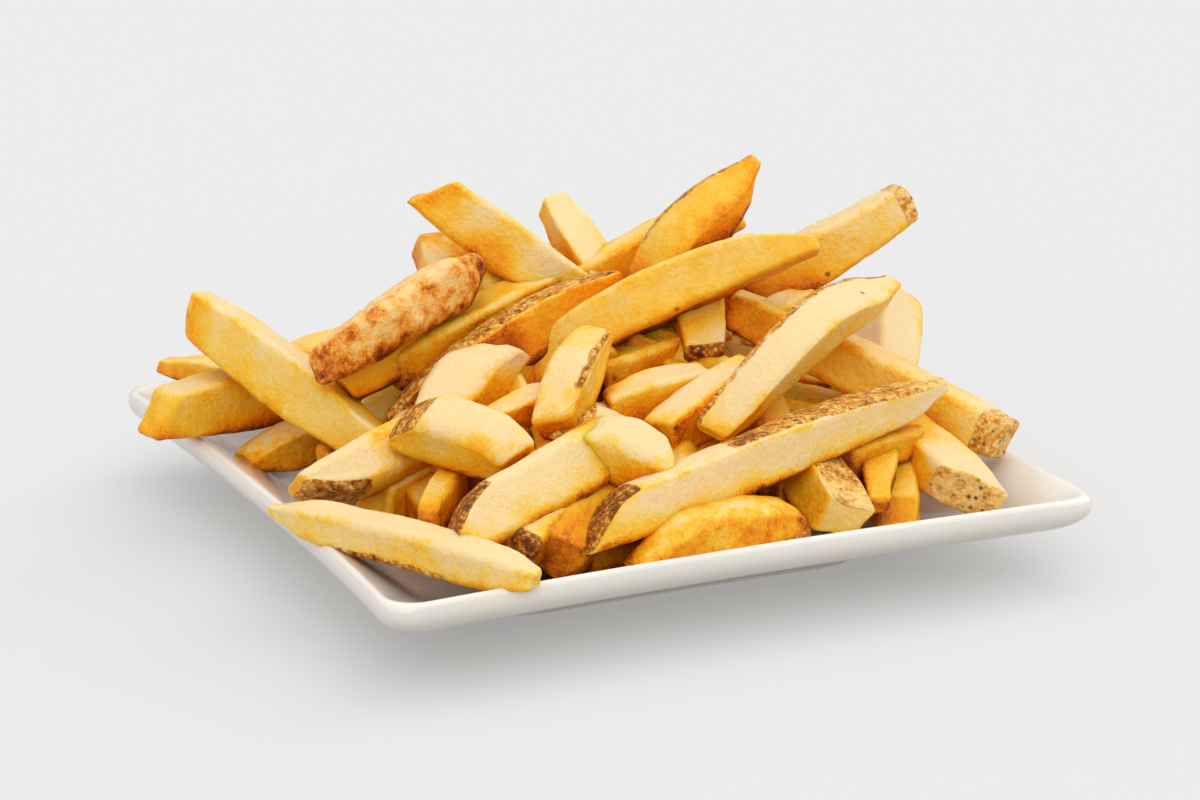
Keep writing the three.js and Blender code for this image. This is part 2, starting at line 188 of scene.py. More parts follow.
BACK_FRIES = (
    ("back_left_low", (-58, 68, 24), (4, 58, 34), 12, 12, 8, dict(cut_a=(20, 0))),
    ("back_right_low", (74, 60, 24), (12, 72, 22), 12, 11, -10, dict(ROUNDED, skin=(1, 1))),
    ("back_lean_left", (-22, 80, 23), (-10, 32, 50), 12, 12, 20, dict(cut_a=(25, 180))),
    ("back_lean_middle", (34, 80, 22), (30, 38, 47), 12, 12, -15, SKIN_TIP),
    ("back_far_left", (-74, 54, 30), (-32, 30, 46), 12, 12, 10, ROUNDED),
    ("back_far_right", (80, 22, 26), (40, 58, 36), 12, 12, 0, dict(cut_b=(30, 90))),
    ("back_lean_right", (62, 74, 23), (48, 28, 46), 12, 12, 30, SKIN_TIP),
    ("back_lean_corner", (-48, 78, 22), (-46, 36, 38), 12, 11, -20, ROUNDED),
    ("back_high_right", (2, 62, 40), (56, 46, 42), 12, 12, -5, dict(skin_b=5)),
    ("back_high_left", (-34, 58, 42), (24, 44, 53), 11, 12, 15, SKIN_TIP),
    ("back_shoulder", (70, 4, 38), (34, 40, 52), 12, 12, -10, ROUNDED),
    ("back_rim", (12, 81, 21), (-32, 72, 24), 11, 11, 0, dict(toast_a=0.3)),
    ("right_side", (82, -14, 25), (72, 44, 25), 12, 12, 12, SKIN_TIP),
    ("back_top", (50, 20, 52), (2, 36, 56), 12, 12, 5, ROUNDED),
    ("back_left_short", (-8, 66, 30), (-38, 66, 32), 11, 11, 25, dict(toast_b=0.3)),
)

# Fries that lie along the dish's front wall, under the outer ones.
LOW_FRIES = (
    ("low_front", (-30, -62, 18), (16, -58, 20), 12, 11, 12, dict(tone=0.9, eyes=0.7)),
    ("low_left", (-47, -58, 21), (-31, -22, 32), 12, 12, 10, dict(tone=0.7)),
    ("low_right", (22, -62, 22), (30, -24, 36), 12, 12, 20, dict(tone=0.7)),
)

# The fries that lie loose under those, spread over a mound like the seeds of a sunflower: how
# many, those left out because they would show or poke through, how far the seeds spread and
# round which point, the mound, how closely a fry follows its slope, how far out its ends may lie,
# how they rise over the dish's slope, the lengths, and the turn from one to the next.
UNDER = SimpleNamespace(
    count=44, skipped=(2, 7, 10, 14, 43), spread=57, centre=(2, 8), mound=(2, 10), top=43,
    bottom=10, reach=68, slope_share=0.7, edge=70, rim_rise=0.1, rim_start=45, lowest=18,
    shortest=44, longest=68, turn=97,
)

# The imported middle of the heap: a low dome on a round, lobed outline.
CORE = SimpleNamespace(centre=(2, 12), radius=50, seat=10.0, edge=12.5, top=34.0, around=96,
                       levels=30)

# The dish's inside floor and its flat underside, as insets from the lip's outline.
FLOOR_HEIGHT = 7.4
FLOOR_INSETS = (86, 78, 69, 59)
BASE_INSETS = (50, 66, 80)

# Lights: name, its setting, the way it shines, its spread in degrees and its colour.
LIGHTS = (
    ("key_light", "key", (-0.42, -0.16, -0.89), 50, (1.0, 0.985, 0.96)),
    ("side_light", "side", (-0.85, -0.30, -0.42), 30, (1.0, 0.985, 0.95)),
    ("front_light", "front", (0.35, 0.72, -0.6), 50, (1.0, 0.99, 0.97)),
)

CAMERA_PLACE = (-0.41508, -0.89779, 0.34579)
CAMERA_AIM = (0.40158, 0.86435, -0.30270)
CAMERA_LENS, CAMERA_SENSOR = 129.02, 36.0

# Colours of fried potato from pale to dark, as (how done, colour on a screen).
FRIED_RAMP = (
    (0.00, (245, 216, 160)), (0.16, (249, 208, 106)), (0.32, (252, 192, 42)),
    (0.48, (249, 170, 12)), (0.66, (236, 136, 2)), (0.82, (184, 88, 4)), (1.00, (100, 46, 10)),
)
CRISP_RAMP = (
    (0.00, (251, 212, 144)), (0.30, (247, 188, 94)), (0.48, (238, 152, 42)),
    (0.62, (216, 114, 16)), (0.80, (170, 74, 6)), (1.00, (106, 42, 4)),
)
SKIN_RAMP = (
    (0.20, (96, 46, 8)), (0.34, (164, 90, 18)), (0.46, (214, 142, 42)), (0.58, (240, 184, 88)),
    (0.70, (250, 212, 134)),
)
FRIED_LOOK = dict(ramp=FRIED_RAMP, patchiness=0.38, bump=0.8, roughness=0.42, depth=0.38)


# ---- numbers and noise

def smoothstep(low, high, value):
    """3t² - 2t³ of how far value has come from low to high."""
    t = np.clip((value - low) / (high - low), 0.0, 1.0)
    return t * t * (3.0 - 2.0 * t)


def bell(distance, width):
    """1 at no distance, falling off on both sides: e to the minus (distance / width)²."""
    return np.exp(-(distance / width) ** 2)


def lattice_value(cell, seed):
    """A repeatable number from 0 to 1 for each lattice cell: the three indices and the seed
    are multiplied by large odd numbers, summed, folded twice and scaled."""
    mask = np.uint64(0xFFFFFFFF)
    x, y, z = (cell[..., k].astype(np.uint64) & mask for k in range(3))
    total = (x * np.uint64(374761393) + y * np.uint64(668265263)
             + z * np.uint64(2147483647) + np.uint64(seed * 974711 + 12345)) & mask
    total = ((total ^ (total >> np.uint64(13))) * np.uint64(1274126177)) & mask
    total = ((total ^ (total >> np.uint64(16))) * np.uint64(2246822519)) & mask
    return (total ^ (total >> np.uint64(15))).astype(np.float64) / float(0xFFFFFFFF)


def value_noise(points, size, seed):
    """Noise from -1 to 1: the lattice values at the eight corners of a cell of that size,
    blended by smoothstep."""
    scaled = points / size + 1000.0
    cell = np.floor(scaled)
    t = smoothstep(0.0, 1.0, scaled - cell)
    cell = cell.astype(np.int64)
    total = np.zeros(points.shape[:-1])
    for corner in np.ndindex(2, 2, 2):
        step = np.array(corner)
        weight = np.prod(np.where(step == 1, t, 1.0 - t), axis=-1)
        total += weight * lattice_value(cell + step, seed)
    return 2.0 * total - 1.0


def vector_noise(points, size, seed):
    """Three value noises as a vector."""
    return np.stack([value_noise(points, size, seed + k) for k in range(3)], axis=-1)


def linear(red, green, blue):
    """A colour given from 0 to 255 as it looks on a screen, turned to linear light."""
    share = np.array([red, green, blue]) / 255.0
    light = np.where(share <= 0.04045, share / 12.92, ((share + 0.055) / 1.055) ** 2.4)
    return (*light.tolist(), 1.0)


# ---- meshes

def closed_faces(rings, around):
    """The faces of a stack of rings closed by a point at each end, as corner indices and face
    sizes: fans at the ends and quads between each ring and the next."""
    i = np.arange(around)
    j = (i + 1) % around
    start = np.stack([np.zeros_like(i), 1 + j, 1 + i], axis=1)
    base = 1 + (rings - 1) * around
    end = np.stack([base + i, base + j, np.full_like(i, 1 + rings * around)], axis=1)
    here = 1 + np.arange(rings - 1)[:, None] * around
    quads = np.stack(
        [here + i, here + j, here + around + j, here + around + i], axis=-1
    ).reshape(-1, 4)
    corners = np.concatenate([start.ravel(), quads.ravel(), end.ravel()])
    sizes = np.concatenate([np.full(around, 3), np.full(len(quads), 4), np.full(around, 3)])
    return corners, sizes


def with_ends(rings):
    """The rings' points or values in one row, with the mean of the first ring before them and
    that of the last one after them."""
    inside = rings.reshape(-1, *rings.shape[2:])
    return np.concatenate([[rings[0].mean(axis=0)], inside, [rings[-1].mean(axis=0)]])


def add_mesh(name, points, corners, sizes, material, layers):
    """One mesh object at the origin from points in millimetres, with a number for each point
    in every named layer."""
    mesh = bpy.data.meshes.new(name)
    mesh.vertices.add(len(points))
    mesh.vertices.foreach_set("co", (points * MM).astype(np.float32).ravel())
    mesh.loops.add(len(corners))
    mesh.loops.foreach_set("vertex_index", corners.astype(np.int32))
    mesh.polygons.add(len(sizes))
    starts = np.concatenate([[0], np.cumsum(sizes)[:-1]])
    mesh.polygons.foreach_set("loop_start", starts.astype(np.int32))
    mesh.update(calc_edges=True)
    mesh.validate()
    mesh.shade_smooth()
    for layer, values in layers.items():
        attribute = mesh.attributes.new(layer, "FLOAT", "POINT")
        attribute.data.foreach_set("value", values.astype(np.float32))
    mesh.materials.append(material)
    piece = bpy.data.objects.new(name, mesh)
    bpy.context.scene.collection.objects.link(piece)
    return piece


def count_as_fries(piece):
    """Says that a piece rides on the one body and stands for the heap of fries."""
    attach(piece, "root")
    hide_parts("fries_heap")


# ---- a fry

def fry_axes(end_a, end_b, roll):
    """Unit vectors along a fry, across it and up, the last two rolled about the first."""
    along = (end_b - end_a) / np.linalg.norm(end_b - end_a)
    up = np.array([0.0, 0.0, 1.0]) - along * along[2]
    up /= np.linalg.norm(up)
    across = np.cross(up, along)
    c, s = math.cos(math.radians(roll)), math.sin(math.radians(roll))
    return along, across * c + up * s, up * c - across * s


def rounded_square(around):
    """A unit square with round corners, as even steps round it: which side of the middle a
    point's corner lies on (eta, zeta) and which way the surface faces there (ny, nz). Each
    quarter is half a side, a corner's arc and half a side."""
    corner_share = 0.44
    turn = (np.arange(around) + 0.5) / around * 4.0
    quarter = np.floor(turn)
    t = turn - quarter
    half_arc = corner_share / 2.0
    arc = np.clip((t - 0.5 + half_arc) / corner_share, 0.0, 1.0)
    angle = (quarter + arc) * math.pi / 2.0
    before = np.clip(t / (0.5 - half_arc), 0.0, 1.0)
    after = np.clip((1.0 - t) / (0.5 - half_arc), 0.0, 1.0)
    c, s = np.cos(quarter * math.pi / 2.0), np.sin(quarter * math.pi / 2.0)
    ring = (after * c - before * s, after * s + before * c, np.cos(angle), np.sin(angle))
    return [values[None, :] for values in ring]


# The crowding sets the painted crevice shade: colour deepened where other fries lie close.
def crowding_for_painted_shade(samples, name, middle, neighbours):
    """How crowded each sample point is by other fries, from 0 to 1. What one fry leaves free
    grows by smoothstep with the distance to its middle line, and the crowding is one minus
    the product of what they all leave free."""
    free = np.ones(samples.shape[:-1])
    for other, start, stop in neighbours:
        run = stop - start
        length = np.linalg.norm(run)
        near = np.linalg.norm((start + stop) / 2.0 - middle)
        if other == name or near > length / 2.0 + TOO_FAR:
            continue
        t = np.clip((samples - start) @ run / length ** 2, 0.0, 1.0)
        distance = np.linalg.norm(samples - start - t[..., None] * run, axis=-1)
        free = free * (LEFT_FREE + (1.0 - LEFT_FREE) * smoothstep(CROWDED_AT, FREE_AT, distance))
    return 1.0 - free


class Fry:
    """One fry on a grid of stations along it, from end A to end B, and points round it. Its
    chances are the golden share of its index times 1, 7 and 13, without the whole part."""

    def __init__(self, row, index, around, steps, crust):
        self.name, point_a, point_b, width, height, roll, special = row
        self.end_a, self.end_b = np.array(point_a, float), np.array(point_b, float)
        self.length = float(np.linalg.norm(self.end_b - self.end_a))
        self.along, self.across, self.up = fry_axes(self.end_a, self.end_b, roll)
        self.half_w, self.half_h = width / 2.0, height / 2.0
        self.thin = min(self.half_w, self.half_h)
        self.index, self.crust = index, crust
        self.first, self.second, self.third = (index * k * GOLDEN_SHARE % 1.0 for k in (1, 7, 13))
        by_chance = dict(tone=0.2 + 0.6 * self.first, twist=10.0 * (self.second - 0.5),
                         bow=(1.6 * (self.third - 0.5), 1.4 * (self.second - 0.5)))
        self.own = SimpleNamespace(**{**PLAIN, **by_chance, **special})
        self.eta, self.zeta, self.ny, self.nz = rounded_square(around)
        self.edge_round = min(1.1 + 1.4 * self.second, 0.8 * self.thin)
        self.from_a, self.rho, self.cap_rho = self.stations(steps)
        self.from_b = self.length - self.from_a
        self.share = self.from_a / self.length
        self.trimmed = (self.own.rind[0] > SHARP_DROP, self.own.rind[2] > SHARP_DROP)
        self.top = self.rind_height()

    def stations(self, steps):
        """Places along the fry and the share rho of its section that is left there: a cap's
        rings, its rounded edge, the body, and the same again. The last value is the cap's."""
        turn = np.linspace(0.0, math.pi / 2.0, 5)
        round_s = self.edge_round * (1.0 - np.cos(turn))
        round_rho = 1.0 - self.edge_round / self.thin * (1.0 - np.sin(turn))
        cap_rho = np.linspace(0.0, round_rho[0], 8)[1:-1]
        body = np.linspace(self.edge_round, self.length - self.edge_round, steps)[1:-1]
        end_s = np.concatenate([np.zeros(len(cap_rho)), round_s])
        end_rho = np.concatenate([cap_rho, round_rho])
        s = np.concatenate([end_s, body, self.length - end_s[::-1]])
        rho = np.concatenate([end_rho, np.ones(len(body)), end_rho[::-1]])
        return s[:, None], rho[:, None], round_rho[0]

    def rind_height(self):
        """How high the potato's round outside lies over the middle line: its depth left over
        the upper face, less each end's drop, which fades as the square of the way left to
        where it stops."""
        drop_a, length_a, drop_b, length_b, left = self.own.rind
        return (self.half_h + left - drop_a * np.maximum(0.0, 1.0 - self.from_a / length_a) ** 2
                - drop_b * np.maximum(0.0, 1.0 - self.from_b / length_b) ** 2)

    def at_ends(self, at_a, at_b, width):
        """Two numbers that fade from the ends as a bell does, added up."""
        return at_a * bell(self.from_a, width) + at_b * bell(self.from_b, width)

    def between(self, start, stop):
        """1 between two shares of the length and 0 outside them, with soft ends."""
        return smoothstep(start - 0.06, start + 0.02, self.share) * (
            1.0 - smoothstep(stop - 0.02, stop + 0.06, self.share))

    def station_noise(self, size, seed, line):
        """One noise value for each station, read along a line of its own."""
        places = np.concatenate([self.from_a, np.full_like(self.from_a, line),
                                 np.zeros_like(self.from_a)], axis=1)
        return value_noise(places, size, seed)[:, None]

    def section(self):
        """Across and up at each point: a rounded square, lowered to the rind, with sides that
        sink in by a parabola, an upper side that is crowned where the rind trims it, a lean
        to one side and a swell along the length; then thinned and narrowed towards the ends,
        by rho in the caps, and twisted."""
        eta, zeta, ny, nz, share = self.eta, self.zeta, self.ny, self.nz, self.share
        half_w, half_h = self.half_w, self.half_h
        upper = np.clip(np.minimum(half_h, self.top), -0.75 * half_h, None)
        mid, reach_z = (upper - half_h) / 2.0, (upper + half_h) / 2.0
        radius = np.minimum((0.12 + 0.13 * self.third) * 2.0 * self.thin, 0.9 * reach_z)
        y = eta * (half_w - radius) + ny * radius
        z = mid + zeta * (reach_z - radius) + nz * radius
        wave = self.station_noise(13.0, 5, self.index * 7.3)
        hollow = self.crust.hollow / MM * (0.7 + 0.6 * wave)
        y = y - hollow * np.sign(ny) * (np.abs(ny) > 0.99) * (1.0 - zeta ** 2)
        z = z - hollow * np.sign(nz) * (np.abs(nz) > 0.99) * (1.0 - eta ** 2)
        crown = 0.18 * half_h
        crowned = (np.clip(zeta, 0.0, 1.0) * np.clip(nz, 0.0, 1.0)
                   * smoothstep(-0.2, 0.6, half_h - self.top + crown))
        z = z - crowned * crown * (y / half_w) ** 2
        y = y + 0.3 * (self.third - 0.5) * (z - mid)
        swell_y, swell_z = (
            1.0 + 0.07 * self.station_noise(19.0, 8 + k, self.index * 5.1 + k) for k in (0, 1))
        y, z = y * swell_y, mid + (z - mid) * swell_z

        thinned = self.at_ends(1.0 - self.own.tip_a, 1.0 - self.own.tip_b, TIP_REACH)
        scale = (1.0 - thinned) * (
            0.94 + 0.12 * self.second + 0.12 * (self.third - self.second) * share
            + 0.16 * share * (1.0 - share))
        narrow_a = 0.26 * max(0.0, 2.0 * self.second - 1.0)
        narrow_b = 0.26 * max(0.0, 1.0 - 2.0 * self.third)
        narrow = (1.0 - narrow_a * smoothstep(0.55, 0.0, share)
                  - narrow_b * smoothstep(0.45, 1.0, share))
        y = y * scale * self.rho * (0.5 + 0.5 * narrow)
        z = (mid + (z - mid) * self.rho) * scale * narrow
        return *self.twisted(y, z), radius

    def twisted(self, y, z):
        """Across and up turned by the twist, which grows along the length."""
        twist = np.radians(self.own.twist * (self.share - 0.5))
        c, s = np.cos(twist), np.sin(twist)
        return y * c - z * s, y * s + z * c

    def cut_lean(self, cut, chance, trimmed, y, z):
        """How far an end's slope moves each point along: its tangent times how far the point
        lies to the side that it leans to."""
        by_chance = (0.0, 0.0) if trimmed else (6.0 + 24.0 * chance, 360.0 * (chance * 5 % 1))
        angle, side = np.radians(cut or by_chance)
        return math.tan(angle) * (y * math.cos(side) + z * math.sin(side))

    def outside(self, y, z):
        """Points in millimetres: the section carried along, its ends sheared to their cuts
        and their caps sunk in, bowed by a parabola and swayed by a wave, and roughened by
        four sizes of noise and one more at the ends."""
        share, crust, turn = self.share, self.crust, 2.0 * math.pi
        sink = np.where(self.rho < self.cap_rho - 1e-6, CAP_SINK * (1.0 - self.rho ** 2), 0.0)
        x = (self.from_a + np.where(share < 0.5, sink, -sink)
             - (1.0 - share) * self.cut_lean(self.own.cut_a, self.second, self.trimmed[0], y, z)
             + share * self.cut_lean(self.own.cut_b, self.third, self.trimmed[1], y, z))
        bow_y, bow_z = self.own.bow
        arch = 4.0 * share * (1.0 - share)
        y = y + bow_y * arch + 0.25 * np.sin(turn * (share + self.first))
        z = z + bow_z * arch + 0.2 * np.cos(turn * (share * 0.8 + 2.0 * self.first))
        points = (self.end_a + x[..., None] * self.along + y[..., None] * self.across
                  + z[..., None] * self.up)
        # How low a point lies across the fry, which sets the painted shade low down.
        sunk = np.clip(-(y * self.across[2] + z * self.up[2]) / self.half_h, -1.0, 1.0)

        shift = self.index * np.array([31.7, 17.3, 11.9])
        rough = self.own.rough
        for size, height in ((26.0, crust.warp), (9.0, crust.lumps * rough),
                             (3.4, crust.dents * rough), (1.5, crust.pits * rough)):
            points = points + height / MM * vector_noise(points + shift, size, int(size * 10))
        ends = self.at_ends(*(0.3 if trimmed else 1.0 for trimmed in self.trimmed), RAGGED_REACH)
        ragged = crust.ragged / MM * ends[..., None]
        return points + ragged * vector_noise(points + shift, 4.5, 77), sunk

    def skin(self, radius):
        """Where skin is left, from 0 to 1: the most of what the rind leaves on the upper
        side, of an end, of a whole side, and of a band along one edge, whose width is
        measured over the surface."""
        eta, zeta, ny, nz, own = self.eta, self.zeta, self.ny, self.nz, self.own
        kept_a, kept_b = own.skin
        skin = (np.where(self.share < 0.5, kept_a, kept_b)
                * smoothstep(-0.1, 0.5, self.half_h - self.top)
                * smoothstep(0.1, 0.6, nz) * smoothstep(0.2, 0.6, self.rho))
        for depth, distance in ((own.skin_a, self.from_a), (own.skin_b, self.from_b)):
            if depth:
                skin = np.maximum(skin, smoothstep(1.2 * depth, 0.6 * depth, distance))
        off_cap = smoothstep(0.5, 0.9, self.rho)
        if own.side:
            direction, start, stop = own.side
            direction = math.radians(direction)
            facing = ny * math.cos(direction) + nz * math.sin(direction)
            covered = smoothstep(0.7, 0.92, facing) * self.between(start, stop)
            skin = np.maximum(skin, covered * off_cap)
        if own.edge:
            side_y, side_z, band, start, stop = own.edge
            turned = np.arccos(np.clip((ny * side_y + nz * side_z) / math.sqrt(2.0), 0.0, 1.0))
            away = (radius * turned + self.half_w * (1.0 - eta * side_y)
                    + self.half_h * (1.0 - zeta * side_z))
            covered = 0.62 * smoothstep(band, 0.5 * band, away) * self.between(start, stop)
            skin = np.maximum(skin, covered * off_cap)
        return skin

    def rim(self):
        """The darker edges: the section's corners and the rounded edges of the two ends."""
        corner = smoothstep(0.66, 1.0, np.abs(self.eta * self.zeta)) * smoothstep(
            0.6, 0.95, self.rho)
        past_round = np.maximum(np.minimum(self.from_a, self.from_b) - self.edge_round, 0.0)
        end = bell(past_round, RIM_REACH) * smoothstep(0.72, 0.95, self.rho)
        return np.maximum(corner, end) * self.own.rim

    def tone(self, points, sunk, neighbours):
        """The fry's own tone and painted light and shade: deeper where its surface faces down,
        lies low or is crowded.
        """
        crust, on_side = self.crust, smoothstep(0.75, 0.97, self.rho)
        on_cap = (1.0 - on_side) * np.where(self.share < 0.5, -1.0, 1.0)
        turned_y, turned_z = self.twisted(self.ny, self.nz)
        upward = (on_side * (turned_y * self.across[2] + turned_z * self.up[2])
                  + on_cap * self.along[2])
        outward = ((self.ny[..., None] * self.across + self.nz[..., None] * self.up)
                   * on_side[..., None] + on_cap[..., None] * self.along)
        painted_crevice_shade = crowding_for_painted_shade(points + crust.reach / MM * outward, self.name,
                         (self.end_a + self.end_b) / 2.0, neighbours)
        # Painted light and shade: paler where the face looks up, deeper where it faces down, lies
        # low or has fries close by.
        return (self.own.tone + crust.painted_facing_shade * (0.40 - upward) + crust.painted_low_shade * sunk
                + crust.painted_crevice_shade * painted_crevice_shade)

    def surface(self, neighbours):
        """The fry's rings of points in millimetres and its layers."""
        y, z, radius = self.section()
        points, sunk = self.outside(y, z)
        own, skin = self.own, self.skin(radius)
        toast = (own.toast + self.at_ends(own.toast_a, own.toast_b, TOAST_REACH)
                 + own.scorch * skin * (self.share < 0.5))
        # The tone layer holds the fry's own tone with painted light and shade added.
        layers = dict(rim=self.rim(), skin=skin, toast=toast, eyes=own.eyes,
                      tone=self.tone(points, sunk, neighbours), blister=own.blister)
        return points, {key: np.broadcast_to(value, points.shape[:2])
                        for key, value in layers.items()}


def heap_lines():
    """The name and the two end points of every fry in the heap."""
    rows = (*PALE_FRIES, *GOLDEN_FRIES, *SKIN_ON_FRIES, *CRISP_FRIES, *BACK_FRIES, *under_fries())
    return [(row[0], np.array(row[1], float), np.array(row[2], float)) for row in rows]


def under_fries():
    """Rows for the loose fries underneath: the low ones, and then the k-th at a sunflower's
    k-th seed, a golden angle round and the square root of k out. It lies on a mound whose
    height falls by the square of the way out, and heads its own way along the slope."""
    rows = [*LOW_FRIES]
    rise, reach = UNDER.top - UNDER.bottom, UNDER.reach ** 2
    for k in range(UNDER.count):
        radius = UNDER.spread * math.sqrt((k + 0.5) / UNDER.count)
        angle, heading = math.radians(k * GOLDEN_ANGLE), math.radians(k * UNDER.turn % 180)
        x = UNDER.centre[0] + radius * math.cos(angle)
        y = UNDER.centre[1] + radius * math.sin(angle)
        off_x, off_y = x - UNDER.mound[0], y - UNDER.mound[1]
        height = UNDER.bottom + rise * max(0.0, 1 - (off_x ** 2 + off_y ** 2) / reach)
        fall = -2 * rise * (off_x * math.cos(heading) + off_y * math.sin(heading)) / reach
        direction = np.array([math.cos(heading), math.sin(heading), fall * UNDER.slope_share])
        direction /= np.linalg.norm(direction)
        length = UNDER.shortest + k * 29 % (UNDER.longest - UNDER.shortest)
        ends = []
        for half in (-length / 2, length / 2):
            end = np.array([x, y, height]) + direction * half
            end[:2] = np.clip(end[:2], -UNDER.edge, UNDER.edge)
            past = max(0.0, float(np.abs(end[:2]).max()) - UNDER.rim_start)
            end[2] = max(end[2], UNDER.lowest + UNDER.rim_rise * past)
            ends.append(tuple(end))
        if k not in UNDER.skipped:
            special = dict(cut_a=(k * 31 % 40, k * 77 % 360), cut_b=(k * 17 % 40, k * 41 % 360),
                           tone=0.3 + 0.1 * (k % 5), toast=0.05 * (k % 4))
            rows.append((f"under_{k}", *ends, 11 + k % 3 * 0.7, 10 + k % 4 * 0.7,
                         k * 53 % 90 - 45, special))
    return rows


def add_fries(context, name, rows, finish, thirds=3, extra_rings=0, **look):
    """All the fries of one kind as one mesh, with that many thirds of the usual grid. Their
    material is called by its finish, and look says where it isn't the usual one."""
    crust = context.scene.fries_crust
    around, along = crust.around * thirds // 3, crust.along * thirds // 3 + extra_rings
    neighbours = heap_lines()
    points, layers = [], {key: [] for key in LAYERS}
    for index, row in enumerate(rows):
        rings, values = Fry(row, index + len(name) * 5, around, along, crust).surface(neighbours)
        points.append(with_ends(rings))
        for key, value in values.items():
            layers[key].append(with_ends(value))
    corners, sizes = closed_faces(len(rings), around)
    firsts = np.arange(len(rows))[:, None] * len(points[0])
    count_as_fries(add_mesh(
        name, np.concatenate(points), (corners + firsts).ravel(), np.tile(sizes, len(rows)),
        fried_potato(finish, {**FRIED_LOOK, **look}),
        {key: np.concatenate(values) for key, values in layers.items()}))


# ---- the dish

def dish_ring(dish, inset, height, corner_steps=12, side_steps=28):
    """The dish's outline at an inset: a rounded square, walked clockwise, whose sides pull in
    by a parabola towards their middles, less and less up to an inset of 60 mm."""
    half = dish.side / MM / 2 - inset
    radius = min(dish.corner / MM + 0.25 * max(inset, 0.0), 0.6 * half)
    bow = dish.bow / MM * max(0.0, 1 - inset / 60)
    arc = np.linspace(0.0, math.pi / 2, corner_steps)
    run = np.linspace(0.0, 1.0, side_steps + 2)[1:-1]
    reach = half - radius
    x = np.concatenate([reach + radius * np.cos(arc), reach - 2 * reach * run])
    y = np.concatenate([reach + radius * np.sin(arc), np.full(side_steps, half)])
    quarters = []
    for quarter in range(4):
        c, s = round(math.cos(quarter * math.pi / 2)), round(math.sin(quarter * math.pi / 2))
        quarters.append(np.stack([x * c - y * s, x * s + y * c], axis=1))
    flat = np.concatenate(quarters)[::-1]
    x, y = flat[:, 0], flat[:, 1]
    return np.stack([
        x * (1 - bow / half * (1 - (y / half) ** 2)),
        y * (1 - bow / half * (1 - (x / half) ** 2)),
        np.full(len(x), float(height)),
    ], axis=1)


def smooth_wall(steps=5):
    """The wall's profile drawn finer: a Catmull-Rom curve through its points, with the sharp
    foot, its last three stretches, left as it is."""
    wall = np.array(WALL, float)
    padded = np.concatenate([[2 * wall[0] - wall[1]], wall, [2 * wall[-1] - wall[-2]]])
    t = np.linspace(0, 1, steps, endpoint=False)[:, None]
    pieces = []
    for k in range(len(wall) - 1):
        a, b, c, d = padded[k:k + 4]
        if k >= len(wall) - 4:
            pieces.append(b + (c - b) * t)
            continue
        pieces.append(0.5 * (2 * b + (c - a) * t + (2 * a - 5 * b + 4 * c - d) * t ** 2
                             + (3 * b - a - 3 * c + d) * t ** 3))
    return np.concatenate([*pieces, wall[-1:]])


# ---- material building

def feed(tree, owner, values):
    """Gives a node's inputs, by name or number, a plain value or a link from a socket."""
    for key, value in values.items():
        if isinstance(value, bpy.types.NodeSocket):
            tree.links.new(value, owner.inputs[key])
        else:
            owner.inputs[key].default_value = value


def node(tree, kind, values=None, **settings):
    """A shader node of that kind with its settings, fed with values."""
    made = tree.nodes.new(kind)
    for key, value in settings.items():
        setattr(made, key, value)
    feed(tree, made, values or {})
    return made


def math_node(tree, operation, *values):
    """A Math node's output."""
    return node(tree, "ShaderNodeMath", dict(enumerate(values)), operation=operation).outputs[0]


def swing(tree, value, amount):
    """How far a value from 0 to 1 lies from its middle, times an amount."""
    return math_node(tree, "MULTIPLY", math_node(tree, "SUBTRACT", value, 0.5), amount)


def spread_node(tree, value, low, high, to_low=0.0, to_high=1.0):
    """Map Range from low..high, smoothly, to to_low..to_high."""
    values = {"Value": value, "From Min": low, "From Max": high, "To Min": to_low,
              "To Max": to_high}
    return node(tree, "ShaderNodeMapRange", values, interpolation_type="SMOOTHSTEP",
                clamp=True).outputs["Result"]


def mix_colour(tree, factor, first, second):
    """The first colour where the factor is 0, the second where it is 1."""
    return node(tree, "ShaderNodeMix", {0: factor, 6: first, 7: second},
                data_type="RGBA").outputs[2]


def noise_node(tree, vector, scale, detail=2.0, roughness=0.5):
    """Noise from 0 to 1 with that many waves a metre."""
    return node(tree, "ShaderNodeTexNoise", {
        "Vector": vector, "Scale": scale, "Detail": detail, "Roughness": roughness,
    }).outputs["Fac"]


def cells_node(tree, vector, scale):
    """Cells round scattered points, that many a metre: distance to the point, and a colour."""
    return node(tree, "ShaderNodeTexVoronoi", {"Vector": vector, "Scale": scale}).outputs


def ramp_node(tree, value, stops):
    """A colour ramp through (position, colour on a screen) stops."""
    made = node(tree, "ShaderNodeValToRGB", {"Fac": value})
    elements = made.color_ramp.elements
    while len(elements) < len(stops):
        elements.new(0.5)
    for element, (position, colour) in zip(elements, stops):
        element.position = position
        element.color = linear(*colour)
    return made.outputs["Color"]


def bump_node(tree, height, strength, distance):
    """The normal of a surface with that relief, distance metres high."""
    return node(tree, "ShaderNodeBump", {
        "Height": height, "Strength": strength, "Distance": distance}).outputs["Normal"]


def new_group(name, inputs, outputs):
    """An empty shader group with those sockets, each a number unless its name is Position or
    Colour; gives the tree, the outputs of its start and its end node."""
    tree = bpy.data.node_groups.new(name, "ShaderNodeTree")
    kinds = {"Position": "NodeSocketVector", "Colour": "NodeSocketColor"}
    for way, sockets in (("INPUT", inputs), ("OUTPUT", outputs)):
        for socket in sockets:
            tree.interface.new_socket(
                socket, in_out=way, socket_type=kinds.get(socket, "NodeSocketFloat"))
    given = tree.nodes.new("NodeGroupInput").outputs
    return tree, given, tree.nodes.new("NodeGroupOutput")


